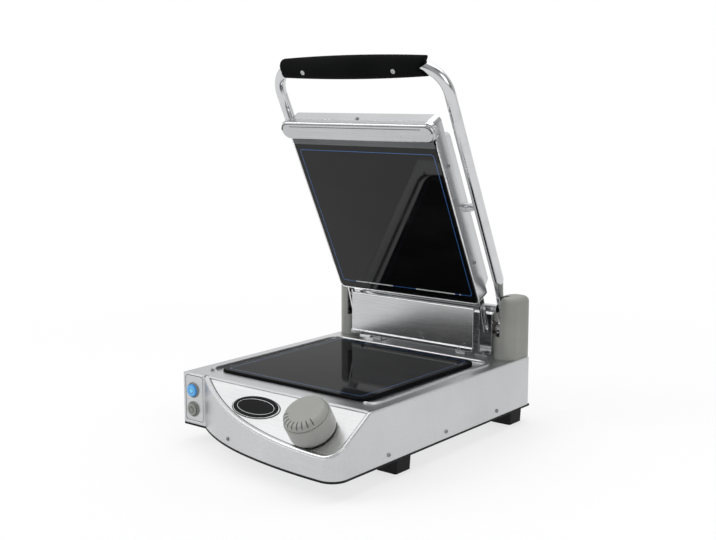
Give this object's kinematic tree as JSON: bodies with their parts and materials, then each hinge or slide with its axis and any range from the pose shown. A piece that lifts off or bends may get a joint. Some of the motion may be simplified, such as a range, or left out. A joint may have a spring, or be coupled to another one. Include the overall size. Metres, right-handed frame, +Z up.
{
  "type": "contact grill",
  "caption": "Countertop contact grill with a glass lower plate, a floating upper plate on a U-shaped arm, sloped control panel and rear splash guard.",
  "frame": {"origin": "on the supporting surface, under the centre of the overall bounding box with the lid at rest", "axes": "+Z up, front of the grill towards -Y, +X to the right seen from the front"},
  "size_m": [0.3338, 0.4776, 0.5329],
  "materials": {
    "satin_steel": "satin brushed stainless steel",
    "polished_steel": "polished stainless steel",
    "screw_steel": "plain machine screws",
    "spring_steel": "oiled spring wire",
    "bronze_bush": "sintered bronze",
    "black_glass": "polished dark glass ceramic",
    "black_glass_upper": "polished dark glass ceramic",
    "black_seal": "black silicone",
    "foot_rubber": "black rubber",
    "warm_grey_plastic": "fine grained moulded plastic",
    "blue_button": "translucent blue lens",
    "black_plastic": "matt black moulded plastic",
    "insulation_board": "pressed fibre board",
    "element_alloy": "resistance ribbon"
  },
  "bodies": {
    "base": {"badge_face": "black_plastic", "badge_rim": "polished_steel", "base_casing": "satin_steel", "bottom_pan": "satin_steel", "button_bezels": "warm_grey_plastic", "cable_gland": "black_plastic", "casing_screws": "screw_steel", "control_panel": "satin_steel", "counter_spring_left": "spring_steel", "counter_spring_right": "spring_steel", "edge_trim": "black_seal", "foot_front_left": "foot_rubber", "foot_front_right": "foot_rubber", "foot_rear_left": "foot_rubber", "foot_rear_right": "foot_rubber", "hinge_bush_left": "bronze_bush", "hinge_bush_right": "bronze_bush", "hinge_cover_left": "warm_grey_plastic", "hinge_cover_right": "warm_grey_plastic", "hinge_pillar_left": "polished_steel", "hinge_pillar_right": "polished_steel", "lower_element": "element_alloy", "lower_glass": "black_glass", "lower_heater_dish": "satin_steel", "lower_insulation": "insulation_board", "lower_seal": "black_seal", "pillar_screws": "screw_steel", "rear_beam": "satin_steel", "splash_panel": "satin_steel", "splash_screws": "screw_steel", "switch_bodies": "black_plastic", "terminal_block": "black_plastic", "thermostat_body": "black_plastic"},
    "arms": {"arm_frame": "polished_steel", "handle_grip": "black_plastic", "handle_screws": "screw_steel", "hinge_hub_left": "polished_steel", "hinge_hub_right": "polished_steel", "hinge_axle": "polished_steel", "tie_bar": "polished_steel", "pivot_pin_left": "polished_steel", "pivot_pin_right": "polished_steel"},
    "upper_plate": {"lid_casing": "satin_steel", "lid_cover": "satin_steel", "upper_glass": "black_glass_upper", "upper_seal": "black_seal", "upper_heater_dish": "satin_steel", "upper_insulation": "insulation_board", "upper_element": "element_alloy", "front_bar": "satin_steel", "pivot_lug_left": "polished_steel", "pivot_lug_right": "polished_steel", "guide_strap_left": "polished_steel", "guide_strap_right": "polished_steel", "lid_screws": "screw_steel"},
    "knob": {"knob_skirt": "warm_grey_plastic", "knob_face": "warm_grey_plastic", "knob_shaft": "polished_steel"},
    "power_button": {"power_button": "blue_button"},
    "timer_button": {"timer_button": "warm_grey_plastic"}
  },
  "joints": [
    {"name": "lid_hinge", "type": "hinge", "parent": "base", "child": "arms", "pos_m": [0, 0.1966, 0.13835], "axis": [1, 0, 0], "range_deg": [0, 64]},
    {"name": "plate_pivot", "type": "hinge", "parent": "arms", "child": "upper_plate", "pos_m": [0, 0.10452, 0.32497], "axis": [-1, 0, 0], "range_deg": [-2, 2]},
    {"name": "knob_turn", "type": "hinge", "parent": "base", "child": "knob", "pos_m": [0.1065, -0.19762, 0.07242], "axis": [0, 0.5329, -0.8462], "range_deg": [0, 270]},
    {"name": "power_press", "type": "slide", "parent": "base", "child": "power_button", "axis": [0, 1, 0], "range_m": [0, 0.0025], "stiffness_N_per_m": 400, "springref_m": -0.001},
    {"name": "timer_press", "type": "slide", "parent": "base", "child": "timer_button", "axis": [0, 1, 0], "range_m": [0, 0.0025], "stiffness_N_per_m": 400, "springref_m": -0.001}
  ]
}
